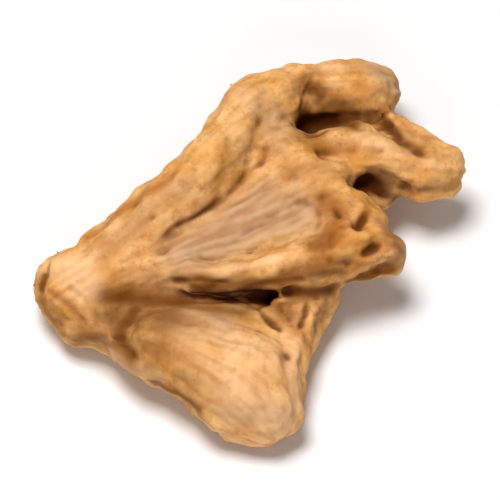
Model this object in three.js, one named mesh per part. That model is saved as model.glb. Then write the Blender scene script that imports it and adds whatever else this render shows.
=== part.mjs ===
// A dried ginger root: one branched, woody rhizome, shrunk and wrinkled, lying on a flat surface.
// Millimetres, +Z up. The neck is at the left, the fingers point right, and the origin is on the
// surface, below the middle of the root's box.
//
// The root is one solid. Each limb is a chain of balls along a smooth line, all limbs are blended
// into one field, hollows are blended out of it, and the zero surface of the field is meshed.

import * as THREE from "three";

// Driving dimensions
const CELL = 1.6; // edge of the sampling cells, so about the edge of a triangle
const LINE_STEP = 2.6; // length of one straight piece of a limb's middle line
const MARGIN = 4; // free cells' width around the root
const LIMB_BLEND = 2.4; // how softly limbs grow into each other
const HOLLOW_BLEND = 1.6; // how softly a hollow's edge turns in
const SETTLE_ROUNDS = 3; // how often the mesh is evened out
const EVENING = 0.5; // share of the way to the neighbours' middle in each round
const REST_BAND = 0.3; // skin lower than this is worn flat against the surface

// Growth rings are the scars of shed scale leaves. They go round every limb.
const RING_SPACING = 6.2;
const RING_DEPTH = 0.42;
const RING_WIDTH = 0.9;
const RING_WAVE = 0.06; // how far a ring strays along its limb, as a share of the spacing

// Shrinkage folds run along each limb.
const FOLD_DEPTH = 0.7; // from a fold's crest to its valley
const FOLDS_ROUND = 7;
const FOLD_TWIST = 0.09; // radians a fold turns for each millimetre along
const FOLD_OFFSET = 1.7; // radians between the folds of one limb and those of the next
const FOLD_MEAN = 2 / Math.PI; // mean of a rectified sine

// Lumps of uneven drying
const LUMP_SIZE = 8.5;
const LUMP_HEIGHT = 0.55;
const SMALL_LUMP_SIZE = 4.2;
const SMALL_LUMP_HEIGHT = 0.26;
const SMALL_LUMP_SHIFT = 50; // keeps the small lumps clear of the large ones' pattern

// How the surface is found
const SLOPE_STEP = CELL / 8; // half the distance over which a slope is measured
const LEAST_SLOPE = 0.25; // keeps steps short where the field is nearly level
const FURTHEST_STEP = CELL * 0.3; // the furthest that a vertex moves in one round
const JUST_INSIDE = -CELL / 6; // field value of a sample that is filled in

// Limbs: every station is [x, y, z, radius]
const LIMBS = {
  ridge: [
    [-31, -14, 6.3, 6.8],
    [-24.5, -9, 10, 6.8],
    [-18, -4.3, 13.6, 6.1],
    [-12, 1, 16.3, 5.5],
    [-6, 8.5, 17.6, 5.4],
    [0, 18.5, 17, 6],
    [8, 24.5, 14.5, 5],
    [15.5, 27.5, 12, 4.8],
    [21.5, 28.5, 10, 5],
  ],
  palmUpper: [
    [-15, -6.5, 11, 5],
    [-7, -1.5, 12, 5.5],
    [0, 4, 12.5, 6],
    [6, 9, 13, 6],
  ],
  palm: [
    [-22, -13, 9, 6],
    [-12, -8, 10.5, 6.5],
    [-1, -4, 11.5, 6.5],
    [8, 2, 12.5, 6.5],
    [15.5, 5.5, 12, 5.5],
  ],
  palmLower: [
    [-13, -10, 10, 5.5],
    [-4, -8, 10.8, 6],
    [5, -5.5, 11.6, 6.5],
    [13, -1.5, 12, 6.5],
  ],
  band: [
    [-24, -15, 9, 5.5],
    [-14.5, -14, 11.8, 4.4],
    [-5.5, -15, 13.8, 3.8],
    [4, -14.4, 14.8, 3.9],
    [12, -12.2, 14.8, 4.6],
    [18.5, -9, 13.5, 5.8],
    [23.5, -9.5, 12.5, 4],
  ],
  knuckle: [
    [2, 13, 15.2, 5],
    [8.5, 6, 15.6, 5],
    [15, -0.5, 15.5, 4.5],
    [20, -3, 14, 3.5],
  ],
  rightFinger: [
    [10.5, 8.6, 13.4, 5.2],
    [17, 11, 14, 5.4],
    [23, 10.5, 13.2, 5.6],
    [28.5, 9, 12.2, 5.7],
    [33, 9, 11.2, 4.7],
  ],
  rightFingerEdge: [
    [23.6, 19.4, 13.4, 2],
    [26.6, 15.8, 15, 2.2],
    [30.6, 13, 14.6, 2.3],
    [34.4, 10.8, 13.6, 2.5],
  ],
  fingerWeb: [
    [11, 21, 10, 5],
    [17, 20, 9.5, 4.8],
    [22, 20, 9.5, 4],
  ],
  notchWeb: [
    [16, 4.5, 11, 5],
    [21, 6, 10, 4.4],
  ],
  lobeSpine: [
    [-27.5, -17, 7, 6.2],
    [-19.5, -24, 8.2, 6.7],
    [-11, -29.3, 8.6, 6.8],
    [-5.5, -34.5, 8, 6.9],
    [-1, -37.7, 6, 6.8],
  ],
  lobeRight: [
    [-14.5, -20, 6.5, 5.5],
    [-4.5, -22, 6.8, 6],
    [3, -20.6, 6.6, 5.8],
    [8, -17.2, 6.4, 4.8],
  ],
  lobeEdge: [
    [8, -18.5, 5.2, 5],
    [5.5, -26, 6.6, 4.8],
    [3.5, -33, 6.5, 5.4],
    [2.5, -38.5, 6.3, 6.2],
  ],
  lobeMiddle: [
    [-10, -25.5, 8, 6.5],
    [-1.5, -31.5, 8.2, 7],
  ],
  neckFoot: [
    [-32.5, -13, 7.5, 6],
    [-30.2, -19.2, 5, 4.3],
  ],
  underPlate: [
    [-17, -10, 6.5, 5],
    [-7, -8, 7, 5.5],
    [2, -4, 8, 5.5],
    [10, 4.5, 8.5, 5],
    [8, 16.5, 9.5, 5],
  ],
  underWeb: [
    [-20, -16.8, 8.4, 5.2],
    [-12, -17, 8, 4.9],
    [-4, -16.2, 6.6, 4.4],
    [4, -14.5, 7, 4],
    [11, -13.5, 7.6, 4],
  ],
  ridgeFace: [
    [1, 20, 16.2, 5.4],
    [6, 19.6, 14.8, 3.8],
  ],
  fingerFront: [
    [16.5, 25.6, 13, 3.4],
    [19.8, 25.4, 12.2, 3.5],
    [22.4, 26.4, 11, 3.5],
  ],
  heel: [
    [2, 23.5, 11, 5.5],
    [9, 24.5, 7, 5],
    [14, 24.5, 3.6, 4.2],
  ],
};

// Hollows and creases, in the same form as the limbs
const HOLLOWS = {
  ridgeFoot: [
    [-16, -11.5, 16.2, 0.8],
    [-14, -8.5, 17.2, 1.1],
    [-9.5, -6, 18.4, 1.3],
    [-5, -2.5, 18.6, 1.3],
    [-1.5, 1, 19, 1.3],
    [0.5, 4.5, 19.2, 1.1],
    [2.5, 8, 20.2, 0.8],
  ],
  palmDip: [
    [-8, -12.5, 19.6, 3.8],
    [-1, -7.5, 21.2, 5],
    [6, -4.8, 21.8, 4.6],
  ],
  crevice: [
    [-14, -19, 14, 0.8],
    [-8, -18.8, 12.8, 1],
    [-2, -18.2, 11.6, 1.1],
    [3, -17.4, 10.6, 1.4],
    [6, -16.4, 10.2, 1.6],
  ],
  fingerHollow: [
    [11.8, 20.8, 18.2, 3],
    [10.8, 17, 15.6, 2.6],
    [10.2, 14.8, 13.8, 2.3],
  ],
  fingerValley: [
    [10.6, 17.2, 12.6, 2.2],
    [13.5, 18.2, 12.8, 2],
    [17.5, 19.2, 13, 1.6],
    [22, 19.8, 13, 1.2],
  ],
  knuckleDip: [
    [12.5, 7.7, 19.1, 1.5],
    [17.5, 8.3, 19.1, 1.4],
  ],
  notchHole: [
    [18, 2, 17.5, 1.6],
    [21.5, 4.5, 14, 2.2],
    [26, 4, 12, 2.4],
  ],
  rightGroove: [
    [22.4, 16.8, 15.9, 1.1],
    [25.2, 12.8, 17.7, 1.2],
    [28.2, 9.6, 17.8, 1.1],
    [30.2, 8.4, 17, 0.8],
  ],
  upperPit: [
    [18.5, -5.5, 19, 1.2],
    [19.8, -7.5, 18.8, 1.3],
  ],
  lowerPit: [
    [21, -12.3, 17.7, 1.4],
    [21.8, -11.3, 17.6, 1.2],
  ],
  endCrease: [
    [19.5, -14.5, 13.5, 0.9],
    [25.5, -13, 14, 0.9],
  ],
  fanCreaseLeft: [
    [2, -19, 9.6, 0.9],
    [6.5, -25, 11.4, 0.9],
  ],
  fanCreaseRight: [
    [7.5, -20.5, 11.2, 0.9],
    [9, -23.5, 10.8, 0.8],
  ],
  neckValley: [
    [-14, -18.8, 15.4, 2.2],
    [-18, -19.8, 15.6, 3.2],
    [-21.6, -22.4, 14.8, 3],
    [-23.4, -26.4, 13.3, 2.3],
    [-21.2, -30.6, 12.6, 1.5],
  ],
  lobeDimple: [
    [7, -30.5, 11.4, 1.3],
    [6.4, -28.6, 11.9, 1],
  ],
};

// A repeatable number from 0 to 1 for a point of a whole-number lattice.
const LATTICE_MIX = [127.1, 311.7, 74.7];
const LATTICE_STRETCH = 43758.5453;
function latticeValue(i, j, k) {
  const angle = i * LATTICE_MIX[0] + j * LATTICE_MIX[1] + k * LATTICE_MIX[2];
  const mixed = Math.sin(angle) * LATTICE_STRETCH;
  return mixed - Math.floor(mixed);
}

// Smooth noise from -1 to 1 over cells of the given size.
function noise(x, y, z, size) {
  const at = [x / size, y / size, z / size];
  const base = at.map(Math.floor);
  const [fx, fy, fz] = at.map((value, axis) => {
    const part = value - base[axis];
    return part * part * (3 - 2 * part);
  });
  let sum = 0;
  for (let corner = 0; corner < 8; corner++) {
    const dx = corner & 1;
    const dy = (corner >> 1) & 1;
    const dz = corner >> 2;
    const share =
      (dx ? fx : 1 - fx) * (dy ? fy : 1 - fy) * (dz ? fz : 1 - fz);
    sum += share * latticeValue(base[0] + dx, base[1] + dy, base[2] + dz);
  }
  return 2 * sum - 1;
}

// Straight pieces along a smooth line through the stations.
function piecesOf(stations) {
  const points = stations.map(([x, y, z]) => new THREE.Vector3(x, y, z));
  const line = new THREE.CatmullRomCurve3(points, false, "centripetal");
  const count = Math.max(2, Math.ceil(line.getLength() / LINE_STEP));
  const pieces = [];
  let along = 0;
  for (let step = 0; step < count; step++) {
    const [start, end] = [step / count, (step + 1) / count];
    const from = line.getPoint(start);
    const to = line.getPoint(end);
    const length = from.distanceTo(to);
    const direction = to.clone().sub(from).divideScalar(length);
    const side = new THREE.Vector3(0, 0, 1).cross(direction).normalize();
    const up = direction.clone().cross(side);
    pieces.push({
      from,
      direction,
      side,
      up,
      length,
      along,
      radius: radiusAt(stations, start),
      growth: radiusAt(stations, end) - radiusAt(stations, start),
    });
    along += length;
  }
  return pieces;
}

// The radius between two stations, eased so that limbs have no kinks.
function radiusAt(stations, share) {
  const place = share * (stations.length - 1);
  const first = Math.min(Math.floor(place), stations.length - 2);
  const eased = THREE.MathUtils.smoothstep(place - first, 0, 1);
  return THREE.MathUtils.lerp(stations[first][3], stations[first + 1][3], eased);
}

const LIMB_PIECES = Object.values(LIMBS).map(piecesOf);
const HOLLOW_PIECES = Object.values(HOLLOWS).map(piecesOf);

// The nearest piece of a line to a point: its distance, and where along and round the line that is.
function nearestOn(pieces, x, y, z) {
  let best = { gap: Infinity };
  for (const piece of pieces) {
    const px = x - piece.from.x;
    const py = y - piece.from.y;
    const pz = z - piece.from.z;
    const d = piece.direction;
    const reach = THREE.MathUtils.clamp(
      px * d.x + py * d.y + pz * d.z,
      0,
      piece.length,
    );
    const share = reach / piece.length;
    const rx = px - d.x * reach;
    const ry = py - d.y * reach;
    const rz = pz - d.z * reach;
    const gap =
      Math.hypot(rx, ry, rz) - piece.radius - piece.growth * share;
    if (gap < best.gap) {
      const across = rx * piece.side.x + ry * piece.side.y + rz * piece.side.z;
      const above = rx * piece.up.x + ry * piece.up.y + rz * piece.up.z;
      const past = px * d.x + py * d.y + pz * d.z - reach;
      best = {
        gap,
        along: piece.along + reach + past,
        turn: Math.atan2(above, across),
      };
    }
  }
  return best;
}

// Smooth minimum of two distances.
function blend(a, b, softness) {
  const h = Math.max(softness - Math.abs(a - b), 0) / softness;
  return Math.min(a, b) - (h * h * softness) / 4;
}

// Rings and folds of one limb, as a height over its smooth surface.
function limbRelief(along, turn, limbIndex) {
  const ringPlace = along / RING_SPACING + RING_WAVE * Math.sin(2 * turn + limbIndex);
  const toRing = (ringPlace - Math.round(ringPlace)) * RING_SPACING;
  const ring = Math.exp(-((toRing / RING_WIDTH) ** 2));
  const foldTurn = FOLDS_ROUND * (turn + FOLD_TWIST * along) + FOLD_OFFSET * limbIndex;
  const fold = Math.abs(Math.sin(foldTurn / 2)) - FOLD_MEAN;
  return FOLD_DEPTH * fold - RING_DEPTH * ring;
}

// The root's field: under 0 inside, over 0 outside, about a distance near the surface.
function rootField(x, y, z) {
  let field = Infinity;
  LIMB_PIECES.forEach((pieces, limbIndex) => {
    const near = nearestOn(pieces, x, y, z);
    if (near.gap > MARGIN + LIMB_BLEND) return;
    const bare = near.gap - limbRelief(near.along, near.turn, limbIndex);
    field = field === Infinity ? bare : blend(field, bare, LIMB_BLEND);
  });
  if (field === Infinity) return MARGIN;
  field -= LUMP_HEIGHT * noise(x, y, z, LUMP_SIZE);
  field -= SMALL_LUMP_HEIGHT * noise(x + SMALL_LUMP_SHIFT, y, z, SMALL_LUMP_SIZE);
  for (const pieces of HOLLOW_PIECES) {
    field = -blend(-field, nearestOn(pieces, x, y, z).gap, HOLLOW_BLEND);
  }
  return Math.max(field, -z);
}

// The box that the limbs fill, with a margin.
function fieldBox() {
  const box = new THREE.Box3();
  for (const [x, y, z, radius] of Object.values(LIMBS).flat()) {
    const ball = new THREE.Sphere(new THREE.Vector3(x, y, z), radius);
    box.union(ball.getBoundingBox(new THREE.Box3()));
  }
  return box.expandByScalar(MARGIN);
}

// The direction in which the field grows.
function fieldSlope(x, y, z) {
  const h = SLOPE_STEP;
  return new THREE.Vector3(
    rootField(x + h, y, z) - rootField(x - h, y, z),
    rootField(x, y + h, z) - rootField(x, y - h, z),
    rootField(x, y, z + h) - rootField(x, y, z - h),
  ).divideScalar(2 * h);
}

// Fills sealed bubbles: every free sample that can't be reached from the box's first corner.
function fillBubbles(values, nx, ny, nz) {
  const steps = [1, -1, nx, -nx, nx * ny, -nx * ny];
  const reached = new Uint8Array(values.length);
  const waiting = [0];
  reached[0] = 1;
  while (waiting.length) {
    const at = waiting.pop();
    for (const step of steps) {
      const next = at + step;
      if (values[next] >= 0 && !reached[next]) {
        reached[next] = 1;
        waiting.push(next);
      }
    }
  }
  values.forEach((value, at) => {
    if (value >= 0 && !reached[at]) values[at] = JUST_INSIDE;
  });
}

// Fills pinches, where two solid samples of a square meet only across its diagonal, so that no two
// walls of the surface share an edge.
function fillPinches(values, nx, ny, nz) {
  const strides = [1, nx, nx * ny];
  const planes = [[0, 1], [0, 2], [1, 2]].map(([a, b]) => [strides[a], strides[b]]);
  const last = values.length - strides[1] - strides[2] - 1;
  let changed = true;
  while (changed) {
    changed = false;
    for (let at = 0; at < last; at++)
      for (const [s, t] of planes) {
        const square = [at, at + s, at + s + t, at + t];
        const [a, b, c, d] = square.map((n) => values[n] < 0);
        if (a !== c || b !== d || a === b) continue;
        const free = a ? [square[1], square[3]] : [square[0], square[2]];
        free.sort((p, q) => values[p] - values[q]);
        values[free[0]] = JUST_INSIDE;
        changed = true;
      }
  }
}

// Surface nets: one vertex in each cell that the surface crosses, one quad for each crossed edge.
function netOf(box) {
  const size = box.getSize(new THREE.Vector3());
  const counts = [size.x, size.y, size.z].map((length) => Math.ceil(length / CELL) + 1);
  const [nx, ny, nz] = counts;
  const index = (i, j, k) => i + nx * (j + ny * k);
  const values = new Float64Array(nx * ny * nz);
  for (let k = 0; k < nz; k++)
    for (let j = 0; j < ny; j++)
      for (let i = 0; i < nx; i++)
        values[index(i, j, k)] = rootField(
          box.min.x + i * CELL,
          box.min.y + j * CELL,
          box.min.z + k * CELL,
        );

  fillPinches(values, nx, ny, nz);
  fillBubbles(values, nx, ny, nz);

  const vertexOf = new Map();
  const positions = [];
  const corners = [0, 1, 2, 3, 4, 5, 6, 7].map((c) => [c & 1, (c >> 1) & 1, c >> 2]);
  for (let k = 0; k < nz - 1; k++)
    for (let j = 0; j < ny - 1; j++)
      for (let i = 0; i < nx - 1; i++) {
        const sum = new THREE.Vector3();
        let crossings = 0;
        corners.forEach(([ai, aj, ak], a) => {
          for (const axisBit of [1, 2, 4]) {
            if (a & axisBit) continue;
            const [bi, bj, bk] = corners[a | axisBit];
            const va = values[index(i + ai, j + aj, k + ak)];
            const vb = values[index(i + bi, j + bj, k + bk)];
            if (va < 0 === vb < 0) continue;
            const t = va / (va - vb);
            sum.x += ai + t * (bi - ai);
            sum.y += aj + t * (bj - aj);
            sum.z += ak + t * (bk - ak);
            crossings++;
          }
        });
        if (!crossings) continue;
        sum.divideScalar(crossings);
        vertexOf.set(index(i, j, k), positions.length);
        positions.push(
          new THREE.Vector3(
            box.min.x + (i + sum.x) * CELL,
            box.min.y + (j + sum.y) * CELL,
            box.min.z + (k + sum.z) * CELL,
          ),
        );
      }

  const triangles = [];
  const quad = (a, b, c, d, flipped) => {
    const [p, q, r, s] = flipped ? [d, c, b, a] : [a, b, c, d];
    const first = positions[p].distanceTo(positions[r]);
    const second = positions[q].distanceTo(positions[s]);
    if (first < second) triangles.push([p, q, r], [p, r, s]);
    else triangles.push([p, q, s], [q, r, s]);
  };
  for (let k = 1; k < nz - 1; k++)
    for (let j = 1; j < ny - 1; j++)
      for (let i = 1; i < nx - 1; i++) {
        const here = values[index(i, j, k)] < 0;
        const cell = (di, dj, dk) => vertexOf.get(index(i - di, j - dj, k - dk));
        if (here !== values[index(i + 1, j, k)] < 0)
          quad(cell(0, 0, 0), cell(0, 1, 0), cell(0, 1, 1), cell(0, 0, 1), !here);
        if (here !== values[index(i, j + 1, k)] < 0)
          quad(cell(0, 0, 0), cell(0, 0, 1), cell(1, 0, 1), cell(1, 0, 0), !here);
        if (here !== values[index(i, j, k + 1)] < 0)
          quad(cell(0, 0, 0), cell(1, 0, 0), cell(1, 1, 0), cell(0, 1, 0), !here);
      }
  return { positions, triangles };
}

// Moves each vertex towards the middle of its neighbours and back onto the zero surface.
function settle({ positions, triangles }) {
  const neighbours = positions.map(() => new Set());
  for (const [a, b, c] of triangles) {
    neighbours[a].add(b).add(c);
    neighbours[b].add(c).add(a);
    neighbours[c].add(a).add(b);
  }
  for (let round = 0; round < SETTLE_ROUNDS; round++) {
    const middles = neighbours.map((around) => {
      const middle = new THREE.Vector3();
      around.forEach((other) => middle.add(positions[other]));
      return middle.divideScalar(around.size);
    });
    positions.forEach((p, at) => {
      const drift = middles[at].sub(p);
      const normal = fieldSlope(p.x, p.y, p.z).normalize();
      drift.addScaledVector(normal, -drift.dot(normal));
      p.addScaledVector(drift, EVENING);
      const slope = fieldSlope(p.x, p.y, p.z);
      const step = rootField(p.x, p.y, p.z) / Math.max(slope.lengthSq(), LEAST_SLOPE);
      p.addScaledVector(slope, -THREE.MathUtils.clamp(step, -FURTHEST_STEP, FURTHEST_STEP));
    });
  }
  for (const p of positions) if (p.z < REST_BAND) p.z = 0;
}

function makeRootGeometry() {
  const net = netOf(fieldBox());
  settle(net);
  const { positions, triangles } = net;
  const geometry = new THREE.BufferGeometry();
  geometry.setAttribute(
    "position",
    new THREE.Float32BufferAttribute(positions.flatMap((p) => [p.x, p.y, p.z]), 3),
  );
  geometry.setIndex(triangles.flat());
  return geometry;
}

// Puts the origin below the middle of the box, at the lowest point.
function centreOnSurface(geometry) {
  geometry.computeBoundingBox();
  const { min, max } = geometry.boundingBox;
  geometry.translate(-(min.x + max.x) / 2, -(min.y + max.y) / 2, -min.z);
  geometry.computeVertexNormals();
  return geometry;
}

const drySkin = new THREE.MeshStandardMaterial({
  color: 0xd9a86c,
  roughness: 0.85,
  metalness: 0,
});

const gingerRoot = new THREE.Mesh(centreOnSurface(makeRootGeometry()), drySkin);
gingerRoot.name = "ginger_root";

const root = new THREE.Group();
root.add(gingerRoot);

export default root;
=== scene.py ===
# %% [markdown]
# A dried ginger root, dressed from its plain solid.
#
# The solid already has the root's limbs, hollows and rings. This lesson turns it into dry skin:
# it is remeshed finely, smoothed, carved with the folds that drying pulled into it, and given a
# matte, mottled finish, with shade painted into its colour where the skin sinks in and painted
# highlights on its lit crests. Everything is in metres in the scene, and in millimetres while the
# skin is worked, because its folds are tenths of a millimetre.

import math

import bpy
import numpy as np
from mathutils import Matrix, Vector, noise
from mathutils.bvhtree import BVHTree


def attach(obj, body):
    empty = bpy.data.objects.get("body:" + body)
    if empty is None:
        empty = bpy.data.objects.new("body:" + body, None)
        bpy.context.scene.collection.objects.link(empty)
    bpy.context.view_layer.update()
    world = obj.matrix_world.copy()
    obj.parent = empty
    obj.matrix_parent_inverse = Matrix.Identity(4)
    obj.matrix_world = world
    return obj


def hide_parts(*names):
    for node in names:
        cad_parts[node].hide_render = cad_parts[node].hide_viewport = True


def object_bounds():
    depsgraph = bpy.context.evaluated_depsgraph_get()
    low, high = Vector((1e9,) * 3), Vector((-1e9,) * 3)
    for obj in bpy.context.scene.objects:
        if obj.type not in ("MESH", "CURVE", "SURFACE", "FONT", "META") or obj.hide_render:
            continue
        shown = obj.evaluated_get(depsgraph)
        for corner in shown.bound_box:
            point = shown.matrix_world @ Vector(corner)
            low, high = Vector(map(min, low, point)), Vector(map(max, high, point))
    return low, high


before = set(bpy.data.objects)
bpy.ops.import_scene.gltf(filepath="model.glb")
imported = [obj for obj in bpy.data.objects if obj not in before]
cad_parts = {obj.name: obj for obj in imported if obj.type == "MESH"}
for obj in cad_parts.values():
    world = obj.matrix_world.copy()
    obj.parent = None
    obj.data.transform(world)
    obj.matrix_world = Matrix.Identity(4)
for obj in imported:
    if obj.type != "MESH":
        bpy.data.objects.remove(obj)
packed_low, packed_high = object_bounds()
ROOT_NODE = "ginger_root"
MM = 0.001
print("packed root", [round(side / MM, 1) for side in packed_high - packed_low], "mm")

# %% [markdown]
# The camera looks down on the root from the front, through a long lens, so near and far parts
# keep their proportions. The photograph's own pixels are useful later on: a crease that is seen
# at some pixel can be drawn on the root by sending a ray from this camera through that pixel.
# So the camera is set to frame a square of the photograph, and both share one small function.

# %% Camera
VIEW_TILT = math.radians(55)
CAMERA_DISTANCE = 1.2
SENSOR = 36.0
NEAR_CLIP = 0.05
PHOTO_LEFT, PHOTO_RIGHT = 238.0, 390.2  # the root's outline in the photograph, in pixels
PHOTO_TOP, PHOTO_BOTTOM = 294.0, 432.0
PHOTO_SPAN = 176.0  # side of the square of the photograph that the camera frames, in pixels

towards_camera = Vector((0, -math.cos(VIEW_TILT), math.sin(VIEW_TILT)))
view_up = Vector((0, math.sin(VIEW_TILT), math.cos(VIEW_TILT)))
view_right = Vector((1, 0, 0))
node_points = np.array([v.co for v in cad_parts[ROOT_NODE].data.vertices])
across = node_points @ np.array(view_right)
upward = node_points @ np.array(view_up)
pixel = (across.max() - across.min()) / (PHOTO_RIGHT - PHOTO_LEFT)
photo_middle = ((PHOTO_LEFT + PHOTO_RIGHT) / 2, (PHOTO_TOP + PHOTO_BOTTOM) / 2)
middle_depth = (node_points @ np.array(towards_camera)).mean()
view_target = (
    view_right * (across.max() + across.min()) / 2
    + view_up * (upward.max() + upward.min()) / 2
    + towards_camera * middle_depth
)
camera_place = view_target + towards_camera * CAMERA_DISTANCE

camera_data = bpy.data.cameras.new("camera")
camera_data.sensor_width = SENSOR
camera_data.lens = SENSOR * CAMERA_DISTANCE / (PHOTO_SPAN * pixel)
camera_data.clip_start = NEAR_CLIP
camera = bpy.data.objects.new("camera", camera_data)
camera.location = camera_place
camera.rotation_euler = towards_camera.to_track_quat("Z", "Y").to_euler()
bpy.context.scene.collection.objects.link(camera)
bpy.context.scene.camera = camera


def photo_ray(x, y):
    """Direction from the camera through a pixel of the photograph."""
    aim = (
        view_target
        + view_right * (x - photo_middle[0]) * pixel
        - view_up * (y - photo_middle[1]) * pixel
    )
    return (aim - camera_place).normalized()


print("one photo pixel is", round(pixel / MM, 3), "mm")

# %% [markdown]
# The solid's faces are about a millimetre and a half, too coarse for skin. A voxel remesh of a
# merged copy gives an even, closed mesh with quads of about a third of a millimetre. Smoothing
# in the next step then melts the facets away but keeps the limbs.

# %% Fine skin mesh
VOXEL = 0.37 * MM
WELD_GAP = 0.005 * MM  # corners closer than this become one


def merged_copy(source):
    """A copy of a CAD node's mesh with its loose triangles joined."""
    mesh = source.data.copy()
    copy = bpy.data.objects.new("merged", mesh)
    bpy.context.scene.collection.objects.link(copy)
    weld = copy.modifiers.new("weld", "WELD")
    weld.merge_threshold = WELD_GAP
    remesh = copy.modifiers.new("remesh", "REMESH")
    remesh.mode = "VOXEL"
    remesh.voxel_size = VOXEL
    shape = copy.evaluated_get(bpy.context.evaluated_depsgraph_get())
    fine = bpy.data.meshes.new_from_object(shape)
    bpy.data.objects.remove(copy)
    bpy.data.meshes.remove(mesh)
    return fine


skin = merged_copy(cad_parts[ROOT_NODE])
skin.name = "ginger_skin"
count = len(skin.vertices)
edges = np.zeros(len(skin.edges) * 2, np.int64)
skin.edges.foreach_get("vertices", edges)
edge_a, edge_b = edges.reshape(-1, 2).T
neighbours = np.bincount(edge_a, minlength=count) + np.bincount(edge_b, minlength=count)
points = np.zeros(count * 3)
skin.vertices.foreach_get("co", points)
points = points.reshape(-1, 3) / MM
print("skin has", count, "vertices and", len(skin.polygons), "faces")

# %% [markdown]
# The skin is worked as a plain array of vertex places. Everything that softens it, or softens a
# value on it, rests on one step: the mean of a vertex's neighbours. A soft step alone would shrink
# the root, so each is followed by a slightly longer step back.

# %% Smoothing the skin
FACET_ROUNDS = 14  # rounds of smoothing that melt the solid's facets
SOFT_STEP = 0.5
STEP_BACK = 0.51


def neighbour_mean(values):
    """The mean of each vertex's neighbours along the mesh's edges."""
    columns = values.reshape(count, -1)
    mean = np.empty_like(columns, dtype=float)
    for column in range(columns.shape[1]):
        one = columns[:, column]
        total = np.bincount(edge_a, one[edge_b], count) + np.bincount(edge_b, one[edge_a], count)
        mean[:, column] = total / neighbours
    return mean.reshape(values.shape)


def spread(values, rounds):
    """Softens values over the skin: each round goes half way to the neighbours' mean."""
    for _ in range(rounds):
        values = 0.5 * (values + neighbour_mean(values))
    return values


def normals_of(places):
    """Unit vertex normals of the skin for the given vertex places in millimetres."""
    skin.vertices.foreach_set("co", (places * MM).ravel())
    skin.update()
    out = np.zeros(count * 3, np.float32)
    skin.vertices.foreach_get("normal", out)
    return out.reshape(-1, 3).astype(float)


def smoothed(places, rounds):
    """Smooths the surface without shrinking it: each soft step is followed by one back."""
    for _ in range(rounds):
        places = places + SOFT_STEP * (neighbour_mean(places) - places)
        places = places - STEP_BACK * (neighbour_mean(places) - places)
    return places


faceted = points
points = smoothed(points, FACET_ROUNDS)
moved = float(np.abs(points - faceted).max())
print("smoothing moved the skin by at most", round(moved, 2), "mm")

# %% [markdown]
# The hollows, swellings and creases that the eye reads first are drawn like strokes of a carving
# tool. Each stroke is a short path of photograph pixels that is dropped onto the skin with rays,
# and it presses the skin in, or raises it, with a soft round profile. Only skin that faces the
# camera side moves, so a stroke beside a thin edge never reaches through to the back of it. A long
# stroke is shallower at its two ends, as a crease is.

# %% Drawing on the skin
SOFT_NORMAL_ROUNDS = 6
EDGE_ON_PUSH = 0.4  # share of a stroke's height that is left where the skin is seen edge on
FACING_GAIN = 1.5
STROKE_END = 0.45  # share of a stroke's height at its two ends
MELT_ROUNDS = 60  # rounds of smoothing where the skin is melted


def root_surface(places):
    """A ray-casting tree of the skin at the given places, in metres."""
    polygons = [polygon.vertices[:] for polygon in skin.polygons]
    return BVHTree.FromPolygons([Vector(p) for p in places * MM], polygons)


def dropped(path, surface):
    """Points of the skin, in millimetres, that are seen at photograph pixels."""
    hits = [surface.ray_cast(camera_place, photo_ray(x, y))[0] for x, y in path]
    return np.array([hit for hit in hits if hit is not None]) / MM


def distance_to(places, line):
    """Distance of every place from a line of points, and its share of the way along, 0 to 1."""
    nearest = np.linalg.norm(places - line[0], axis=1)
    share = np.zeros(len(places))
    steps = np.linalg.norm(np.diff(line, axis=0), axis=1)
    starts = np.concatenate([[0], np.cumsum(steps)])
    for number, step in enumerate(steps):
        run = line[number + 1] - line[number]
        reach = np.clip((places - line[number]) @ run / max(run @ run, 1e-9), 0, 1)
        gap = np.linalg.norm(places - line[number] - reach[:, None] * run, axis=1)
        closer = gap < nearest
        nearest[closer] = gap[closer]
        share[closer] = (starts[number] + reach[closer] * step) / max(starts[-1], 1e-9)
    return nearest, share


def carve(places, strokes):
    """Moves the skin in or out along its softened normals: height, half width, path."""
    surface = root_surface(places)
    soft_normals = spread(normals_of(places), SOFT_NORMAL_ROUNDS)
    facing = np.clip(EDGE_ON_PUSH + FACING_GAIN * soft_normals @ np.array(towards_camera), 0, 1)
    push = np.zeros(count)
    for height, width, path in strokes.values():
        line = dropped(path, surface)
        gap, share = distance_to(places, line)
        taper = np.clip(STROKE_END + 4 * share * (1 - share), 0, 1) if len(line) > 2 else 1
        push += height * np.exp(-((gap / width) ** 2)) * taper
    return places + soft_normals * (push * facing)[:, None]


def melted(places, strokes):
    """Smooths the skin strongly near each stroke: half width, path."""
    surface = root_surface(places)
    mask = np.zeros(count)
    for width, path in strokes.values():
        gap, _ = distance_to(places, dropped(path, surface))
        mask = np.maximum(mask, np.exp(-((gap / width) ** 2)))
    return places + (spread(places, MELT_ROUNDS) - places) * mask[:, None]


# %% [markdown]
# The broad forms come first. The ridge swells along its crest, the palm below it is dished, and
# the slope between the neck and the lower lobe sinks in. Most of them are wide and shallow, because
# the solid already has these forms and this step only sharpens them. Where two limbs of the solid
# met in a hard line that a real root doesn't have, the skin is melted first.

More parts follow.
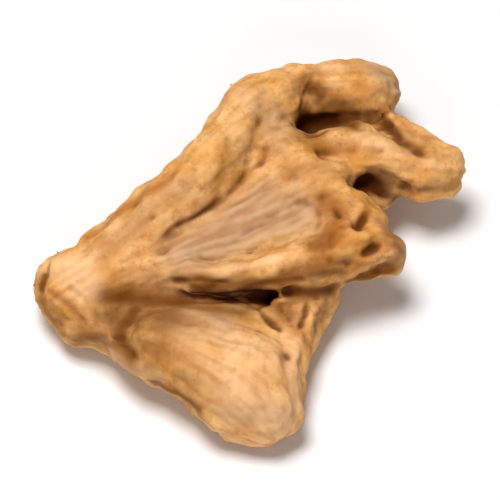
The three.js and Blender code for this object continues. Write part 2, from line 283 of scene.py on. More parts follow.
# %% Broad forms
STROKE_ROUNDS = 6  # rounds of smoothing after the broad strokes
MELTS = {
    "lobe's left": (2.0, [(274, 398), (274, 390), (278, 385), (288, 383.6), (302, 384.6), (316, 390)]),
    "lobe's middle": (2.4, [(284, 402), (296, 408), (306, 416)]),
    "finger root": (1.4, [(332.6, 306), (333, 312)]),
    "rusty dip": (1.4, [(337, 324), (341, 326), (347, 327)]),
    "lobe hem": (3.0, [(296, 417), (301, 422), (306, 427)]),
    "crevice": (1.5, [(288, 377.4), (298, 378.6), (308, 380), (313, 381)]),
    "crevice right": (0.9, [(334, 378), (339, 377.6)]),
}
HOLLOWS = {
    "neck slope": (-0.5, 3.4, [(288, 380), (279, 381), (272, 384), (268, 391), (271, 399)]),
    "palm": (-0.3, 4.0, [(304, 361), (316, 356), (328, 352)]),
    "finger dip": (-1.0, 2.2, [(334, 305), (338, 307.6), (341, 311)]),
    "under the upper finger": (-1.2, 1.8, [(334, 320), (337, 321.6), (341, 319)]),
    "rusty dip": (-0.3, 1.4, [(339, 328), (345, 328.5), (350, 327.5)]),
    "notch left": (-1.6, 1.1, [(352.6, 342), (354.6, 339)]),
    "notch right": (-1.0, 0.9, [(355, 338.6), (359, 341), (362.6, 343.6)]),
}
RISES = {
    "ridge": (0.5, 3.0, [(272, 354), (284, 344), (296, 333), (307, 320), (313, 309)]),
    "ridge foot": (0.6, 1.6, [(282, 360), (287, 352.6), (295, 348), (303, 343.4)]),
    "upper knob": (0.9, 2.6, [(350, 301), (356, 304), (358, 308)]),
    "hollow lip": (0.5, 1.0, [(340, 325), (344, 323), (350, 321)]),
    "valley floor": (0.6, 1.3, [(352, 318.4), (358, 317.4)]),
    "right finger crest": (0.5, 1.6, [(350, 322), (357, 325), (366, 331), (377, 334)]),
    "crevice floor": (0.45, 1.4, [(294, 378.6), (303, 379.6), (311, 380.6)]),
    "crevice end floor": (1.0, 1.2, [(320.4, 383), (324, 381.4), (327, 379.6)]),
    "band": (0.6, 1.7, [(290, 369), (303, 369.6), (320, 368), (338, 364.6)]),
    "band hem": (1.1, 1.0, [(288, 376), (299, 377), (310, 377.6), (316, 377)]),
    "lobe crest": (0.4, 4.0, [(296, 394), (308, 402), (316, 412)]),
    "lobe rim": (0.5, 1.2, [(334.4, 386.5), (331.4, 396), (329, 408)]),
    "lobe hem": (1.2, 1.8, [(298.6, 420.6), (302, 424)]),
    "fan fold": (0.4, 0.7, [(321, 384), (325, 388), (328.4, 393)]),
    "second fan fold": (0.4, 0.7, [(329, 381), (331, 386), (331.4, 391)]),
    "scallop": (0.5, 1.1, [(337, 343), (342, 347), (343, 353), (340.4, 359)]),
    "neck lip": (0.5, 1.4, [(246, 391), (252, 393), (260, 392.4)]),
    "left hem": (0.5, 1.0, [(262, 394), (266, 400), (272, 404.6), (281, 407.6)]),
}
points = melted(points, MELTS)
points = carve(points, HOLLOWS)
points = carve(points, RISES)
points = smoothed(points, STROKE_ROUNDS)
print("melted places:", len(MELTS), "broad strokes:", len(HOLLOWS) + len(RISES))

# %% [markdown]
# The narrow creases and pits follow, drawn in on top: the crease where the ridge meets the palm,
# the lips of the crevice above the lower lobe, the fan of folds at its shoulder, the rings at the
# neck and the small rusty pits near the lower finger.

# %% Creases and pits
CREASES = {
    "ridge foot": (-0.12, 0.8, [(283, 361), (288, 355.4), (296, 351.4), (304, 347)]),
    "ridge foot line": (-0.28, 0.45, [(289, 354), (298, 349.4), (306, 344.6), (311.6, 338), (315, 331)]),
    "crown mark": (-0.3, 0.9, [(318, 333), (319.4, 328)]),
    "upper seam": (-0.25, 0.9, [(257, 359), (264.7, 353.3), (271.6, 348), (279, 342.6)]),
    "crevice": (-0.5, 0.5, [(287, 377.6), (299.6, 379), (310, 380.5), (316, 382.6)]),
    "crevice end": (-1.3, 0.9, [(317.4, 382.4), (322, 380), (326.6, 377.4)]),
    "neck crease": (-0.7, 0.8, [(245, 361.6), (243.2, 367), (242.2, 372), (240.8, 376.6)]),
    "neck ring": (-0.16, 0.6, [(243.6, 377.4), (248, 380.4), (253, 384.6), (256.4, 388)]),
    "second neck ring": (-0.14, 0.6, [(244, 383), (247, 384.6), (250, 388)]),
    "third neck ring": (-0.12, 0.7, [(250, 375), (255, 379.6), (259, 385), (259.4, 391)]),
    "neck dots": (-0.4, 0.6, [(247, 389.6), (250, 390.6)]),
    "neck side": (-0.5, 1.1, [(266.6, 391), (269, 396.6), (274, 400.6)]),
    "fan left": (-0.8, 0.6, [(317, 384), (320.4, 387.6), (324.4, 391)]),
    "fan middle": (-0.4, 0.5, [(325, 383), (328, 387)]),
    "fan right": (-0.7, 0.6, [(334, 382), (333.6, 386), (331.6, 390)]),
    "rim line": (-0.4, 0.7, [(339.4, 384), (337.6, 390)]),
    "lobe dimple": (-0.12, 1.1, [(325.6, 401.2), (327.6, 400.4)]),
    "lower lobe dimple": (-0.15, 1.1, [(322, 407), (324, 406.6)]),
    "lobe streak": (-0.2, 0.9, [(291, 408.4), (296, 410.6)]),
    "red pit": (-0.8, 0.8, [(355, 350.4), (353.4, 353), (352, 356)]),
    "red pit tail": (-0.5, 0.7, [(352, 354.6), (348.6, 354.6), (346, 355)]),
    "upper small pit": (-0.4, 0.8, [(344.4, 350), (345.4, 351.4)]),
    "scallop pit": (-0.5, 0.8, [(344, 358), (342.6, 361)]),
    "lower pit": (-0.8, 0.9, [(353.6, 364.6), (356.4, 363.2), (359.2, 361.6)]),
    "right small pit": (-0.4, 0.8, [(360.6, 366.6), (362, 367.6)]),
    "small pit": (-0.4, 0.8, [(341.6, 366.6), (343, 367.4)]),
    "second small pit": (-0.4, 0.8, [(347.6, 367.6), (349.2, 368.4)]),
    "end crease": (-0.7, 0.8, [(351.6, 373), (356, 371.2), (361, 369)]),
    "scalloped edge": (-0.25, 0.8, [(330, 345.4), (334, 346.4), (337.6, 348.4), (338.4, 353), (336, 359)]),
    "palm striation": (-0.16, 0.6, [(304, 362), (313, 357), (321, 351.4), (330, 346.4)]),
    "second striation": (-0.14, 0.6, [(300, 359), (310, 352), (318, 347)]),
    "third striation": (-0.14, 0.6, [(306, 363), (318, 358.6), (330, 355.6)]),
    "finger groove": (-0.6, 0.9, [(359, 316), (363, 320), (368, 325), (374, 329)]),
    "finger dimple": (-0.4, 0.9, [(364.6, 331), (366.4, 332)]),
    "lower finger dimple": (-0.3, 0.9, [(368, 339), (370, 340)]),
    "tip dimple": (-0.3, 1.1, [(351.6, 305.4), (355, 306.6)]),
    "tip end": (-0.35, 0.8, [(363.4, 303), (364.4, 306.6), (363, 311)]),
}
points = carve(points, CREASES)
print("narrow strokes:", len(CREASES))

# %% [markdown]
# As a rhizome dries, its skin shrinks into fine wrinkles that run along each limb. To make them
# follow the limbs on every side, a growth direction is set for each vertex from a few lines drawn
# along the limbs. Noise is then averaged along that direction, which turns its spots into long soft
# streaks. A plain noise texture could not turn with the limbs.

# %% Growth direction
GROWTH_LINES = [
    [(246, 382), (262, 367), (278, 352), (296, 336), (312, 315), (330, 304), (347, 302), (363, 306)],
    [(262, 374), (285, 363), (310, 352), (332, 338), (345, 331), (365, 331), (384, 336)],
    [(260, 378), (285, 371), (312, 369), (335, 363), (352, 360), (366, 364)],
    [(256, 386), (275, 392), (292, 402), (306, 412), (317, 426)],
    [(270, 384), (295, 388), (318, 392), (334, 384)],
    [(312, 386), (324, 394), (329, 408), (326, 424)],
]
GROWTH_REACH = 5.0  # how far a line's own direction rules, in millimetres
GROWTH_FALL = 3  # the power by which a line's pull falls with distance
GROWTH_ROUNDS = 50


def unit(rows):
    """Each row scaled to a length of one."""
    return rows / (np.linalg.norm(rows, axis=1, keepdims=True) + 1e-9)


normals = normals_of(points)
surface = root_surface(points)
growth = np.zeros((count, 3))
for path in GROWTH_LINES:
    line = dropped(path, surface)
    for start, end in zip(line[:-1], line[1:]):
        gap, _ = distance_to(points, np.array([start, end]))
        along = (end - start) / np.linalg.norm(end - start)
        growth += along / (gap[:, None] + GROWTH_REACH) ** GROWTH_FALL
growth -= normals * (growth * normals).sum(1, keepdims=True)
growth = unit(spread(unit(growth), GROWTH_ROUNDS))
print("growth direction set from", len(GROWTH_LINES), "lines")

# %% Streaks along the limbs
STREAK_SAMPLES = 9
STREAK_BASE_ROUNDS = 60  # smoothing that finds a streak's broad part, which is then taken out
STREAK_LIMIT = 2


def lumps(size, shift, places=points):
    """Smooth random lumps of the given size in millimetres, from about -1 to 1."""
    offset = Vector((shift, shift, shift))
    return np.array([noise.noise(Vector(p) / size + offset) for p in places])


def streaks(width, length, shift):
    """Lumps averaged along the growth direction, scaled to a spread of about one."""
    total = np.zeros(count)
    for step in np.linspace(-length / 2, length / 2, STREAK_SAMPLES):
        total += lumps(width, shift, points + step * growth)
    total -= spread(total, STREAK_BASE_ROUNDS)
    return np.clip(total / total.std(), -STREAK_LIMIT, STREAK_LIMIT)


coarse_wrinkles = streaks(width=2.3, length=12.0, shift=40.0)
fine_wrinkles = streaks(width=1.0, length=6.0, shift=50.0)
print("two widths of streaks made from", STREAK_SAMPLES, "samples each")

# %% [markdown]
# The streaks become wrinkles of about a tenth of a millimetre, deeper in some patches than in
# others, and on the sides that the front view hides, where no creases are drawn. Three
# sizes of lumps make the limbs knobbly. All of it fades out where the root lies on the floor.

# %% Shrinkage wrinkles and lumps
COARSE_WRINKLE = 0.08  # depths in millimetres
FINE_WRINKLE = 0.035
PATCH_SIZE = 7.0
PATCH_SHIFT = 3.0  # where in the noise the patches are read
PATCH_DEPTH = 0.7  # mean share of the full depth, and how far the patches vary from it
HIDDEN_SIDE_GAIN = 0.9  # how much deeper the wrinkles are on the sides turned away from the front
HIDDEN_FROM = 0.4  # skin that faces the front less than this starts to count as hidden
LUMPS = {8.0: 0.36, 3.6: 0.13, 1.7: 0.05}  # size and height, in millimetres
LUMP_SHIFT = 10.0
STANDING_BAND = 1.2  # the relief fades out this near to the surface that the root lies on
RELIEF_NORMAL_ROUNDS = 3

uneven = PATCH_DEPTH + PATCH_DEPTH * lumps(PATCH_SIZE, PATCH_SHIFT)
hidden_side = np.clip(HIDDEN_FROM - normals @ np.array(towards_camera), 0, 1)
uneven *= 1 + HIDDEN_SIDE_GAIN * hidden_side
relief = (COARSE_WRINKLE * coarse_wrinkles + FINE_WRINKLE * fine_wrinkles) * uneven
for number, (size, height) in enumerate(LUMPS.items()):
    relief += height * lumps(size, LUMP_SHIFT + number)
relief = spread(relief, 1)
lowest = packed_low.z / MM
standing = np.clip((points[:, 2] - lowest) / STANDING_BAND, 0, 1)
points = points + spread(normals, RELIEF_NORMAL_ROUNDS) * (relief * standing)[:, None]
points[:, 2] = np.maximum(points[:, 2], lowest)
print("relief within", round(float(np.abs(relief).max()), 2), "mm")

# %% [markdown]
# The finish needs to know where the skin is browner and dirtier, and where shade is painted into
# its colour. Two measures tell it. The first compares each vertex with its smoothed neighbourhood,
# which finds creases. The second sends a few short rays outwards from each vertex and counts those
# that hit the root again, which finds the deep hollows and the skin under overhangs.

# %% Creases and hollows
HOLLOW_REACH = 9.0  # rays longer than this count as free, in millimetres
RAYS = 14
GOLDEN_TURN = 2.39996  # the turn between two rays, which spaces them evenly, in radians
RAY_LIFT = 0.1  # rays start this far off the skin, in millimetres


def sunk(rounds, full_depth):
    """How far each vertex lies below its smoothed neighbourhood: 0.5 is level, 1 is deep."""
    depth = ((spread(points, rounds) - points) * normals).sum(1)
    return np.clip(0.5 + 0.5 * depth / full_depth, 0, 1)


def enclosed():
    """Share of short rays from each vertex that hit the root again."""
    tree = root_surface(points)
    turns = np.arange(RAYS) * GOLDEN_TURN
    rise = (np.arange(RAYS) + 0.5) / RAYS
    wide = np.sqrt(1 - rise)
    fan = np.stack([np.cos(turns) * wide, np.sin(turns) * wide, np.sqrt(rise)], 1)
    blocked = np.zeros(count)
    for index in range(count):
        turned = Vector(normals[index]).to_track_quat("Z", "Y")
        start = Vector((points[index] + RAY_LIFT * normals[index]) * MM)
        for ray in fan:
            if tree.ray_cast(start, turned @ Vector(ray), HOLLOW_REACH * MM)[0]:
                blocked[index] += 1
    return blocked / RAYS


normals = unit(spread(normals_of(points), 2))
hollow = spread(enclosed(), 5)
print("hollow mean", round(float(hollow.mean()), 2), "max", round(float(hollow.max()), 2))

# %% [markdown]
# Colour is painted with the same kind of stroke: the greyish starchy patch on the palm, rust in the
# pits, and olive brown, which is mostly painted shade, along and under the lower band, in the slope
# by the neck and under the upper finger. A pinkish tone at the tips and hems is mixed with painted
# highlights on the lit crests. Each stroke has a strength, a half width in millimetres and a path of
# photograph pixels.

# %% Greyish marks, and a pinkish tone with painted highlights
GREY_MARKS = {
    "palm": (1.0, 5.2, [(292, 364), (304, 359), (318, 353), (330, 350)]),
    "palm top": (0.9, 3.4, [(308, 350), (320, 342)]),
    "lobe tip": (0.5, 3.6, [(306, 420), (314, 421), (326, 421)]),
    "left hem": (0.5, 1.0, [(264, 396), (268, 402.6), (275, 404.6), (279, 404.6)]),
    "lobe": (0.6, 4.5, [(290, 387), (304, 388)]),
    # Painted shade with a greyish tint on the side of the lobe that turns from the light.
    "lobe shadow side": (0.35, 2.6, [(330, 408), (331, 416)]),
    "upper tip": (0.9, 3.0, [(361, 301), (365, 306)]),
    "ridge face": (0.5, 2.6, [(322, 316), (324, 327)]),
    "ridge crest": (0.4, 2.6, [(262, 362), (274, 352), (290, 340)]),
    "lower finger edge": (0.7, 1.3, [(366, 358), (367.6, 363), (366, 369)]),
}
# A pinkish tone at the lobe's hem and the neck, with painted highlights on the lit crests, rims and faces:
# the upper crest, the right finger, the band crest, the ridge crown, the hems and the lobe.
PINK_AND_HIGHLIGHT_MARKS = {
    "lobe tip": (0.7, 4.4, [(308, 410), (314, 418), (324, 424)]),
    "lobe right": (0.8, 2.2, [(329, 396), (330, 408), (330, 418)]),
    "lobe hem": (0.8, 1.6, [(304, 428), (314, 430.6), (324, 429)]),
    "lobe middle": (0.45, 3.0, [(292, 396), (300, 402), (308, 408)]),
    "lobe back": (0.6, 3.4, [(306, 393), (312, 399), (320, 400)]),
    "neck": (0.8, 3.2, [(249, 369), (254, 371), (258, 376)]),
    "neck hem": (0.4, 1.0, [(247, 391), (252, 392.4)]),
    "ridge crown": (0.6, 2.6, [(311, 308), (316, 312)]),
    "upper crest": (0.4, 1.4, [(309, 302), (320, 300), (340, 298), (356, 298)]),
    "right finger": (0.5, 1.4, [(352, 323), (362, 327), (380, 333)]),
    "left hem": (0.9, 1.1, [(262, 395), (266, 401), (274, 406), (283, 409)]),
    "band crest": (0.5, 1.2, [(290, 369), (306, 369.6), (324, 366)]),
}
print("greyish and pale marks:", len(GREY_MARKS) + len(PINK_AND_HIGHLIGHT_MARKS))

# %% Rust marks, some of them painted shade
# Most of these are rust that the skin has in its pits, folds and knuckles. Some are painted shade: along
# the upper edge, where the skin turns away from the light, on the lower finger and the lobe's shoulder, and
# partly in the finger dip.
RUST_AND_SHADE_MARKS = {
    "rusty dip": (0.8, 1.4, [(338, 328.6), (344, 328.6), (350, 327.6)]),
    "red pit": (1.0, 1.2, [(355, 350.4), (353, 353.4), (352, 356), (346, 355)]),
    "lower pit": (1.0, 1.1, [(353.6, 364.8), (359.2, 361.6)]),
    "scallop pit": (0.9, 1.2, [(346, 358), (343, 361.6)]),
    # Painted shade along the upper edge, where the skin turns away from the light.
    "upper seam": (0.7, 1.2, [(257, 358.6), (264.7, 352.8), (272, 347), (281, 341), (287, 336.4)]),
    "neck rings": (0.6, 1.5, [(246, 379), (251, 382), (255, 388)]),
    # Rust in the finger dip, partly painted shade where it faces down.
    "finger dip": (0.8, 2.0, [(333, 304), (338, 306.6), (344, 309)]),
    "knuckles": (0.9, 2.6, [(341, 345), (345, 350), (344, 357), (338, 362)]),
    "lower knuckles": (0.7, 2.0, [(343, 366), (349, 367.6), (356, 366)]),
    "end crease": (0.8, 0.9, [(351.6, 373), (363, 368.6)]),
    "neck root": (0.6, 1.7, [(268, 371.6), (274, 370), (280, 371)]),
    "crown mark": (0.7, 1.0, [(318, 333), (319.4, 328)]),
    "right finger": (0.3, 1.5, [(350, 331), (356, 329), (364, 332)]),
    # Painted shade on the lower finger.
    "lower finger": (0.6, 2.0, [(360, 353), (362, 360), (358, 366)]),
    "finger fold": (0.6, 1.2, [(362, 314), (368, 320), (377, 325)]),
    "band crest": (0.5, 1.4, [(325, 370), (333, 368.6), (340, 370)]),
    "knuckle": (0.6, 2.4, [(328, 335.6), (334, 334), (342, 335)]),
    "upper knob": (0.4, 1.6, [(352, 305), (357, 306)]),
    # Painted shade on the lobe's shoulder.
    "shoulder": (0.6, 2.4, [(328, 387), (331, 392)]),
    "ridge low": (0.35, 3.0, [(266, 362), (276, 354)]),
    "lobe left": (0.55, 3.0, [(283, 397), (292, 403), (300, 411)]),
}
print("rust marks:", len(RUST_AND_SHADE_MARKS))

# %% Olive brown marks, mostly painted shade
# Most of these strokes are painted shade where the form turns from the light or lies under another part:
# under the band, in the slope and valley by the neck, under the upper finger, in the notch, on the shoulder
# and on the undersides of the neck, the lobe and the lower finger. The pits, spots, rings and the lobe
# patch are the skin's own brown.
BROWN_AND_SHADE_MARKS = {
    "neck slope": (1.0, 3.0, [(264, 379.6), (272, 380), (282, 381), (292, 381.4)]),
    "neck slope fade": (0.82, 4.6, [(266, 386), (274, 387), (284, 386)]),
    "lobe top": (0.8, 2.0, [(288, 383), (300, 383.6), (312, 384.8)]),
    "lobe middle left": (0.55, 3.4, [(276, 396), (281, 400)]),
    "neck underside": (0.8, 3.0, [(247, 394), (254, 394.6), (262, 394)]),
    "neck left": (0.7, 1.6, [(241, 381), (244, 387), (248, 392)]),
    "lower finger": (0.7, 1.6, [(364, 357), (366.6, 363), (363, 369)]),
    "lower finger hem": (0.9, 1.1, [(349, 374), (357, 372.6), (364, 370)]),
    "neck valley": (1.0, 2.5, [(274, 384), (269, 390), (268.6, 395), (273, 400)]),
    "crevice": (0.7, 1.2, [(286, 377.6), (299.6, 379), (310, 380.5)]),
    "crevice end": (0.8, 1.3, [(312, 381), (318, 382.4), (326, 378.6)]),
    "band": (1.0, 1.0, [(288, 373.6), (297, 373), (306, 374.4)]),
    "band streak": (0.95, 1.4, [(294, 376), (306, 375.6), (318, 374.6), (332, 372.6)]),
    "band right": (0.8, 1.3, [(326, 372.4), (336, 371.2), (346, 370.4)]),
    "shoulder": (1.0, 2.0, [(329, 378), (336, 377.6), (342, 377)]),
    "shoulder rim": (0.7, 1.2, [(341, 379), (340, 385), (337, 391)]),
    "neck bottom": (0.6, 1.8, [(254, 392), (259, 391), (264, 389)]),
    "ridge foot": (0.15, 1.1, [(282, 363), (289, 354), (297, 350), (305, 345.4), (311, 339), (315, 331)]),
    "hollow": (1.0, 1.9, [(334, 321), (337, 320.6), (342, 318.6), (348, 317)]),
    "hollow shade": (0.55, 2.6, [(331, 316), (332, 322), (337, 325)]),
    "hollow roof": (0.9, 1.3, [(341, 315), (347, 316.4), (352, 317)]),
    "hollow lip": (0.85, 1.5, [(334, 322.4), (336.8, 323), (340, 321.8)]),
    "finger groove": (0.9, 1.4, [(350, 318.6), (356, 317.6), (362, 319), (367, 324), (374, 328.6)]),
    "finger side": (0.9, 1.9, [(339, 312), (344, 312.6), (349, 314)]),
    "finger root": (0.12, 2.0, [(333, 309), (336, 311)]),
    "valley top": (1.0, 2.0, [(356, 316), (361, 315)]),
    "valley floor": (1.0, 1.9, [(344, 319.6), (350, 319.4), (356, 317)]),
    "shoulder left": (0.7, 1.7, [(323, 383.6), (328, 385.6)]),
    "band end": (0.5, 1.6, [(336, 369), (348, 367)]),
    "finger side edge": (0.95, 1.2, [(345, 314), (352, 315)]),
    "notch": (0.9, 1.3, [(356, 340), (361, 343), (365, 345)]),
    "finger underside": (0.6, 1.2, [(374, 341.6), (386, 340)]),
    "fan": (0.9, 0.8, [(317, 384), (320.4, 387.6), (324.4, 391)]),
    "fan right": (0.8, 0.8, [(334, 382), (333.6, 386), (331.6, 390)]),
    "lobe hem": (0.9, 1.3, [(280, 409.4), (288, 413), (296, 419)]),
    "lobe patch": (0.5, 1.8, [(289, 408), (294, 411)]),
    "lobe dimple": (0.4, 1.1, [(325.6, 401.2), (327.6, 400.4)]),
    "neck crease": (1.0, 1.0, [(245, 361.6), (242.2, 372), (240.8, 376.6)]),
    "neck": (0.5, 1.2, [(244, 384), (247, 386)]),
    "neck ring": (0.45, 0.6, [(243, 377), (248, 380.4), (253, 384.6), (256.4, 388)]),
    "second neck ring": (0.4, 0.6, [(244, 381), (248, 385), (251, 389.6)]),
    "third neck ring": (0.3, 0.7, [(251, 376), (256, 380), (259, 385), (260, 390)]),
    "palm shade": (0.5, 1.6, [(336, 361), (342, 358)]),
    "red pit": (0.8, 0.8, [(354.6, 351), (352.4, 355)]),
    "lower pit": (0.9, 0.8, [(354, 364.4), (358.6, 362)]),
    "scallop spot": (0.8, 0.9, [(339.4, 344.2)]),
    "scallop start": (0.5, 0.9, [(331.2, 345.8)]),
    "scalloped line": (0.25, 0.9, [(331, 345), (335, 347), (338.4, 351), (337, 358)]),
    "knuckle spot": (0.8, 1.0, [(345, 351)]),
    "ridge face": (0.35, 2.6, [(296, 346), (306, 336), (314, 324), (318, 314)]),
    "ridge end spot": (0.5, 1.0, [(329.6, 337.2)]),
    "palm end spot": (0.6, 1.0, [(335.4, 360.8)]),
    "small pit": (0.8, 0.9, [(342.2, 366.8)]),
    "second small pit": (0.8, 0.9, [(348, 368.4)]),
    "band spot": (0.7, 0.9, [(325.6, 370.6)]),
}
print("brown marks:", len(BROWN_AND_SHADE_MARKS))

# %% [markdown]
# The strokes and measures are kept as values on the skin's vertices, so they stay in place when
# the root is turned. The streaks of the wrinkles give two more masks: a tan one for the whole skin,
# and a pale silky one that shows only in the greyish patches.

# %% Masks on the skin
STREAK_SHADE = 0.14  # how strongly a streak of either width shows in the tan mask
SILK_LEVEL = 0.4
SILK_COARSE = 0.22
SILK_FINE = 0.3


def painted(strokes):
    """A mask from 0 to 1 of soft strokes on the skin: strength, half width, path."""
    tree = root_surface(points)
    mask = np.zeros(count)
    for strength, width, path in strokes.values():
        gap, _ = distance_to(points, dropped(path, tree))
        mask = np.maximum(mask, strength * np.exp(-((gap / width) ** 2)))
    return mask


grey = painted(GREY_MARKS)
streak = np.clip(0.5 + STREAK_SHADE * coarse_wrinkles + STREAK_SHADE * fine_wrinkles, 0, 1)
silk_streaks = np.clip(SILK_LEVEL + SILK_COARSE * coarse_wrinkles + SILK_FINE * fine_wrinkles, 0, 1)
silk = spread(grey * silk_streaks, 1)
marks = {
    "hollow": hollow,
    "crease": spread(sunk(rounds=14, full_depth=0.22), 2),
    "dip": sunk(rounds=90, full_depth=1.4),
    "grey": grey,
    # Pinkish tone and painted highlights.
    "pink_and_highlight": painted(PINK_AND_HIGHLIGHT_MARKS),
    # Rust mask: the skin's own rust, with some painted shade.
    "rust_and_shade": painted(RUST_AND_SHADE_MARKS),
    # Olive brown mask: mostly painted shade, with some brown that the skin has in its pits.
    "brown_and_shade": painted(BROWN_AND_SHADE_MARKS),
    "streak": streak,
    "silk": silk,
}
for name, values in marks.items():
    skin.attributes.new(name, "FLOAT", "POINT").data.foreach_set("value", values.astype(np.float32))
    print(name, "from", round(float(values.min()), 2), "to", round(float(values.max()), 2))
skin.shade_smooth()
root = bpy.data.objects.new("ginger_skin", skin)
bpy.context.scene.collection.objects.link(root)

# %% [markdown]
# The finish is dry and matte. A shader node group mixes three tones with soft noise and gives a
# grain for the bump. It is used for the skin, and again for the woody rootlets, with other tones.

# %% Shared finish group
def linear(red, green, blue):
    """A display colour, 0 to 255, as linear values for a shader."""
    shares = [c / 255 for c in (red, green, blue)]
    return (*[s / 12.92 if s <= 0.04045 else ((s + 0.055) / 1.055) ** 2.4 for s in shares], 1.0)


def mottle_group():
    """Three tones mixed by a broad and a fine noise, and a grain height for bump."""
    group = bpy.data.node_groups.new("dry mottle", "ShaderNodeTree")
    for name in ("Tone A", "Tone B", "Speck"):
        group.interface.new_socket(name, in_out="INPUT", socket_type="NodeSocketColor")
    group.interface.new_socket("Scale", in_out="INPUT", socket_type="NodeSocketFloat")
    group.interface.new_socket("Color", in_out="OUTPUT", socket_type="NodeSocketColor")
    group.interface.new_socket("Grain", in_out="OUTPUT", socket_type="NodeSocketFloat")
    nodes, links = group.nodes, group.links
    inside = nodes.new("NodeGroupInput")
    outside = nodes.new("NodeGroupOutput")
    place = nodes.new("ShaderNodeTexCoord")
    blotch = nodes.new("ShaderNodeTexNoise")
    blotch.inputs["Detail"].default_value = 6
    blotch.inputs["Roughness"].default_value = 0.6
    ramp = nodes.new("ShaderNodeMapRange")
    ramp.inputs["From Min"].default_value = 0.38
    ramp.inputs["From Max"].default_value = 0.64
    tone = nodes.new("ShaderNodeMix")
    tone.data_type = "RGBA"
    closer = nodes.new("ShaderNodeMath")
    closer.operation = "MULTIPLY"
    closer.inputs[1].default_value = 3.0
    speck = nodes.new("ShaderNodeTexNoise")
    speck.inputs["Detail"].default_value = 4
    speck.inputs["Roughness"].default_value = 0.7
    speck_ramp = nodes.new("ShaderNodeMapRange")
    speck_ramp.inputs["From Min"].default_value = 0.5
    speck_ramp.inputs["From Max"].default_value = 0.8
    speck_tone = nodes.new("ShaderNodeMix")
    speck_tone.data_type = "RGBA"
    finer = nodes.new("ShaderNodeMath")
    finer.operation = "MULTIPLY"
    finer.inputs[1].default_value = 7.0
    grain = nodes.new("ShaderNodeTexNoise")
    grain.inputs["Detail"].default_value = 4
    grain.inputs["Roughness"].default_value = 0.65
    links.new(place.outputs["Object"], blotch.inputs["Vector"])
    links.new(place.outputs["Object"], speck.inputs["Vector"])
    links.new(place.outputs["Object"], grain.inputs["Vector"])
    links.new(inside.outputs["Scale"], blotch.inputs["Scale"])
    links.new(inside.outputs["Scale"], closer.inputs[0])
    links.new(inside.outputs["Scale"], finer.inputs[0])
    links.new(closer.outputs[0], speck.inputs["Scale"])
    links.new(finer.outputs[0], grain.inputs["Scale"])
    links.new(blotch.outputs["Fac"], ramp.inputs["Value"])
    links.new(ramp.outputs["Result"], tone.inputs["Factor"])
    links.new(inside.outputs["Tone A"], tone.inputs["A"])
    links.new(inside.outputs["Tone B"], tone.inputs["B"])
    links.new(speck.outputs["Fac"], speck_ramp.inputs["Value"])
    links.new(speck_ramp.outputs["Result"], speck_tone.inputs["Factor"])
    links.new(tone.outputs["Result"], speck_tone.inputs["A"])
    links.new(inside.outputs["Speck"], speck_tone.inputs["B"])
    links.new(speck_tone.outputs["Result"], outside.inputs["Color"])
    links.new(grain.outputs["Fac"], outside.inputs["Grain"])
    return group


mottle = mottle_group()
print("the finish group has", len(mottle.nodes), "nodes")

# %% [markdown]
# The skin's colours are laid over one another from the widest mark to the narrowest: the pinkish
# tone with its painted highlights and the grey starch first, then the streaks, the rust with some
# painted shade and the olive brown that is mostly painted shade, and last the painted shade in
# hollows, dips and creases. Each colour reads one of the masks, stretched between two of its values.

# %% Skin material
MOTTLE_SCALE = 180.0  # blotches in a metre
SKIN_ROUGHNESS = 0.62
DRY_GLOSS = 0.08  # dry skin and fibre hardly shine
LIGHT_SKIN = linear(240, 186, 122)
OCHRE_SKIN = linear(212, 146, 70)
SPECK_TAN = linear(176, 110, 42)
# Cream pink for the pinkish tone and for the painted highlights.
PINK_AND_HIGHLIGHT = linear(250, 200, 152)
GREY_SKIN = linear(174, 134, 100)
STREAK_TAN = linear(172, 116, 64)
SILK = linear(228, 190, 150)
# Painted shade in hollows and under overhangs, with the browner, dirtier skin that gathers there.
HOLLOW_BROWN_AND_SHADE = linear(82, 36, 3)
# Painted shade in the narrow creases.
CREASE_SHADE = linear(84, 40, 6)
# Rust of the pits and knuckles, also used for painted shade on some strokes.
RUST_AND_SHADE = linear(156, 84, 20)
# Olive brown of the pits, and the colour of painted shade in the brown strokes and the broad dips.
OLIVE_BROWN_AND_SHADE = linear(108, 57, 2)


